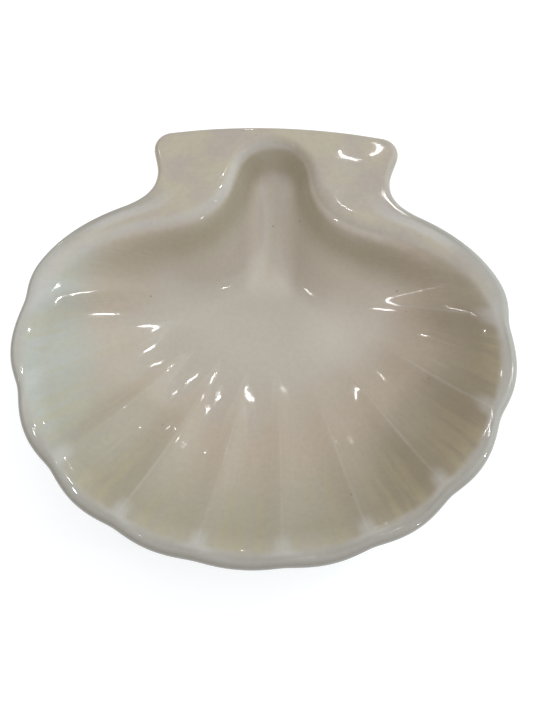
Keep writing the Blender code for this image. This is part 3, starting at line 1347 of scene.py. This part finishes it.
    def dress(self, shell: bpy.types.Object) -> None:
        """Glaze the dish, and leave the face that its foot stands on bare.

        Args:
            shell: The dish.
        """
        mesh = shell.data
        mesh.materials.clear()
        mesh.materials.append(self.glaze.material())
        mesh.materials.append(self.clay.material())
        for face in mesh.polygons:
            low = face.center.z < self.foot_round / 3
            face.material_index = int(low and face.normal.z < self.floor_facing)
        mesh.shade_smooth()
        mesh.set_sharp_from_angle(angle=self.sharp_angle)


@dataclass(frozen=True)
class Strip:
    """Where a strip lamp hangs as seen from the dish, in degrees, and its size in metres."""

    azimuth: float
    rise: float
    turn: float
    long: float
    wide: float


@dataclass(frozen=True)
class Lamp:
    """An area lamp: where it hangs, what it lights and how large it is."""

    name: str
    role: LampRole
    place: Point
    turn: float
    size: tuple[float, float]
    power: float
    target: Point = (0.0, 0.0, 0.02)

    def hang(self) -> None:
        """Make the lamp and aim it at its target."""
        data = bpy.data.lights.new(self.name, "AREA")
        data.shape = "RECTANGLE"
        data.size, data.size_y = self.size
        data.energy = self.power
        lamp = bpy.data.objects.new(self.name, data)
        aim = Vector(self.target) - Vector(self.place)
        lamp.location = self.place
        facing = aim.to_track_quat("-Z", "Y") @ Quaternion((0.0, 0.0, 1.0), math.radians(self.turn))
        lamp.rotation_euler = facing.to_euler()
        bpy.context.scene.collection.objects.link(lamp)


@dataclass
class Studio:
    """The pale floor, the plain soft light and the camera."""

    white: Colour = (1.0, 1.0, 1.0)
    floor_size: float = 3.0
    floor_colour: Colour = (0.58, 0.58, 0.58)
    floor_roughness: float = 0.9
    floor_specular: float = 0.1
    floor_lift: float = 0.57
    cool: Colour = (0.93, 0.99, 1.06)
    warm: Colour = (1.0, 0.92, 0.80)
    warm_to_cool: tuple[float, float] = (0.2, 1.0)
    room_level: float = 0.44
    room_lean: Point = (0.14, -0.08, 0.56)
    side_heading: Point = (0.736, 0.515, 0.438)
    side_span: tuple[float, float] = (0.68, 0.98)
    side_level: float = 1.0
    side_colour: Colour = (0.62, 0.86, 0.94)
    lamp_distance: float = 1.6
    strips: tuple[Strip, ...] = (
        Strip(2.0, 57.0, 15.0, 0.11, 0.007),
        Strip(14.0, 52.0, 15.0, 0.10, 0.006),
        Strip(62.0, 54.0, 60.0, 0.13, 0.020),
        Strip(98.0, 38.0, 100.0, 0.13, 0.014),
        Strip(131.0, 27.0, 10.0, 0.10, 0.010),
        Strip(-87.0, 33.0, 80.0, 0.06, 0.006),
        Strip(-121.0, 27.0, 40.0, 0.13, 0.010),
        Strip(-45.0, 46.0, 40.0, 0.10, 0.009),
        Strip(-8.0, 31.0, 0.0, 0.05, 0.004),
        Strip(25.0, 33.0, 0.0, 0.05, 0.004),
    )
    strip_radiance: float = 160.0
    short_strip: float = 0.07
    camera_place: Point = (0.0147, -0.0693, 0.1870)
    camera_drop: float = 68.85
    camera_yaw: float = -11.54
    camera_roll: float = -7.64
    focal_pixels: float = 609.5
    long_side: float = 711.0
    sensor: float = 36.0
    nearest_seen: float = 0.005

    def lay_floor(self) -> None:
        """Lay the floor, which looks white to the camera and in the glaze."""
        mesh = bmesh.new()
        bmesh.ops.create_grid(mesh, x_segments=2, y_segments=2, size=self.floor_size / 2)
        data = bpy.data.meshes.new("studio_floor")
        mesh.to_mesh(data)
        mesh.free()
        floor = bpy.data.objects.new("studio_floor", data)
        material = bpy.data.materials.new("pale_floor")
        board = NodeBoard(material)
        rays = board.add("ShaderNodeLightPath")
        seen = board.math("MAXIMUM", rays.outputs["Is Camera Ray"], rays.outputs["Is Glossy Ray"])
        shader = board.add("ShaderNodeBsdfPrincipled")
        for name, value in (
            ("Base Color", self.floor_colour),
            ("Roughness", self.floor_roughness),
            ("Specular IOR Level", self.floor_specular),
            ("Emission Color", self.white),
            ("Emission Strength", board.product(seen, self.floor_lift)),
        ):
            board.feed(shader.inputs[name], value)
        board.show(shader.outputs["BSDF"])
        data.materials.append(material)
        bpy.context.scene.collection.objects.link(floor)

    def light_room(self) -> None:
        """Set the soft light all round, brightest overhead, with a soft cool side on the right."""
        world = bpy.data.worlds.new("soft_room")
        board = NodeBoard(world)
        heading = board.add("ShaderNodeTexCoord").outputs["Generated"]
        level = board.math("ADD", board.along(heading, self.room_lean), self.room_level)
        shade = board.mix(board.rise(level, *self.warm_to_cool), self.warm, self.cool)
        around = board.light(shade, board.math("MAXIMUM", level, 0.0))
        glow = board.rise(board.along(heading, self.side_heading), *self.side_span, 0.0, self.side_level)
        both = board.add("ShaderNodeAddShader")
        board.feed(both.inputs[0], around)
        board.feed(both.inputs[1], board.light(self.side_colour, glow))
        seen = board.add("ShaderNodeMixShader")
        board.feed(seen.inputs[0], board.add("ShaderNodeLightPath").outputs["Is Camera Ray"])
        board.feed(seen.inputs[1], both.outputs["Shader"])
        board.feed(seen.inputs[2], board.light(self.white))
        board.show(seen.outputs["Shader"], "ShaderNodeOutputWorld")
        bpy.context.scene.world = world

    def lamps(self) -> list[Lamp]:
        """Lay out the small strip lamps that the glaze's glints come from.

        Returns:
            The lamps, all aimed at the dish.
        """
        lamps: list[Lamp] = []
        for number, strip in enumerate(self.strips, start=1):
            around, up = math.radians(strip.azimuth), math.radians(strip.rise)
            flat = self.lamp_distance * math.cos(up)
            height = self.lamp_distance * math.sin(up)
            place = (flat * math.sin(around), flat * math.cos(around), height)
            power = self.strip_radiance * math.pi * strip.long * strip.wide
            role = LampRole.STRIP if strip.long > self.short_strip else LampRole.SPOT
            size = (strip.long, strip.wide)
            lamps.append(Lamp(f"strip_{number}", role, place, strip.turn, size, power))
        return lamps

    def set_camera(self) -> None:
        """Set up the camera at the photograph's viewing angle."""
        drop = math.radians(self.camera_drop)
        yaw = math.radians(self.camera_yaw)
        roll = math.radians(self.camera_roll)
        level = math.cos(drop)
        ahead = Vector((math.sin(yaw) * level, math.cos(yaw) * level, -math.sin(drop)))
        right = Vector((math.cos(yaw), -math.sin(yaw), 0.0))
        up = right.cross(ahead)
        turned = math.cos(roll) * right + math.sin(roll) * up
        upright = -math.sin(roll) * right + math.cos(roll) * up
        data = bpy.data.cameras.new("camera")
        data.sensor_width = self.sensor
        data.lens = self.focal_pixels * self.sensor / self.long_side
        data.clip_start = self.nearest_seen
        camera = bpy.data.objects.new("camera", data)
        turn = Matrix((turned, upright, -ahead)).transposed().to_4x4()
        camera.matrix_world = Matrix.Translation(self.camera_place) @ turn
        bpy.context.scene.collection.objects.link(camera)
        bpy.context.scene.camera = camera

    def build(self) -> None:
        """Make the floor, the light and the camera."""
        self.lay_floor()
        self.light_room()
        for lamp in self.lamps():
            lamp.hang()
            log.info("lamp %s, a %s", lamp.name, lamp.role.value)
        self.set_camera()
        bpy.context.scene.view_settings.view_transform = "Standard"


def main() -> None:
    """Load the frame, build the dish and the studio, and keep the sizes."""
    logging.basicConfig(level=logging.INFO, format="%(name)s: %(message)s")
    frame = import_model()
    log.info("CAD nodes: %s", ", ".join(sorted(frame["nodes"])))
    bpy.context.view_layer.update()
    dish = ShellDish().build()
    log.info("%s: %d faces", dish.name, len(dish.data.polygons))
    Studio().build()


if __name__ == "__main__":
    main()
